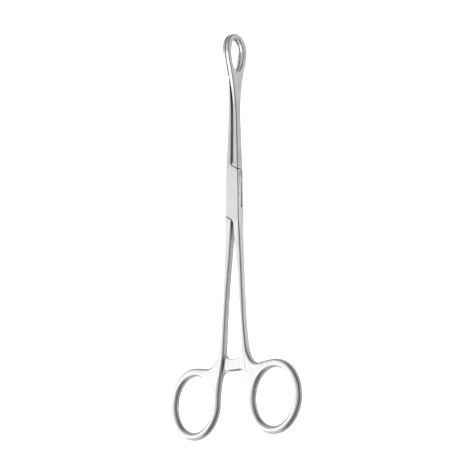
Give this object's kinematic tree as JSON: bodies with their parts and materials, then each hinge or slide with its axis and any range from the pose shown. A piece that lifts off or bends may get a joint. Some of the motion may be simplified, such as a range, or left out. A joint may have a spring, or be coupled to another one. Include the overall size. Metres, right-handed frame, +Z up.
{
  "type": "sponge holding forceps",
  "caption": "Straight ring-handled holding forceps with a box lock, passing ratchet bars and oval windowed jaws with cross serrations.",
  "frame": {"origin": "centre of the bounding box in X and Y, at its lowest point in Z: the instrument lies flat, resting on its oval jaws, with the lock pin upright", "axes": "+Y along the instrument from the finger rings to the jaw tips, +X across the handles, +Z up along the lock pin"},
  "size_m": [0.0854, 0.2, 0.0133],
  "materials": {
    "forceps_steel": "polished satin stainless steel",
    "forceps_steel_second": "polished satin stainless steel",
    "pin_steel": "ground flush with the cheeks and polished"
  },
  "bodies": {
    "female_body": {"female_half": "forceps_steel", "box_lock_pin": "pin_steel"},
    "male_body": {"male_half": "forceps_steel_second"}
  },
  "joints": [
    {"name": "lock_hinge", "type": "hinge", "parent": "female_body", "child": "male_body", "pos_m": [0, 0.0191, 0.00665], "axis": [0, 0, -1], "range_deg": [0, 45]}
  ]
}
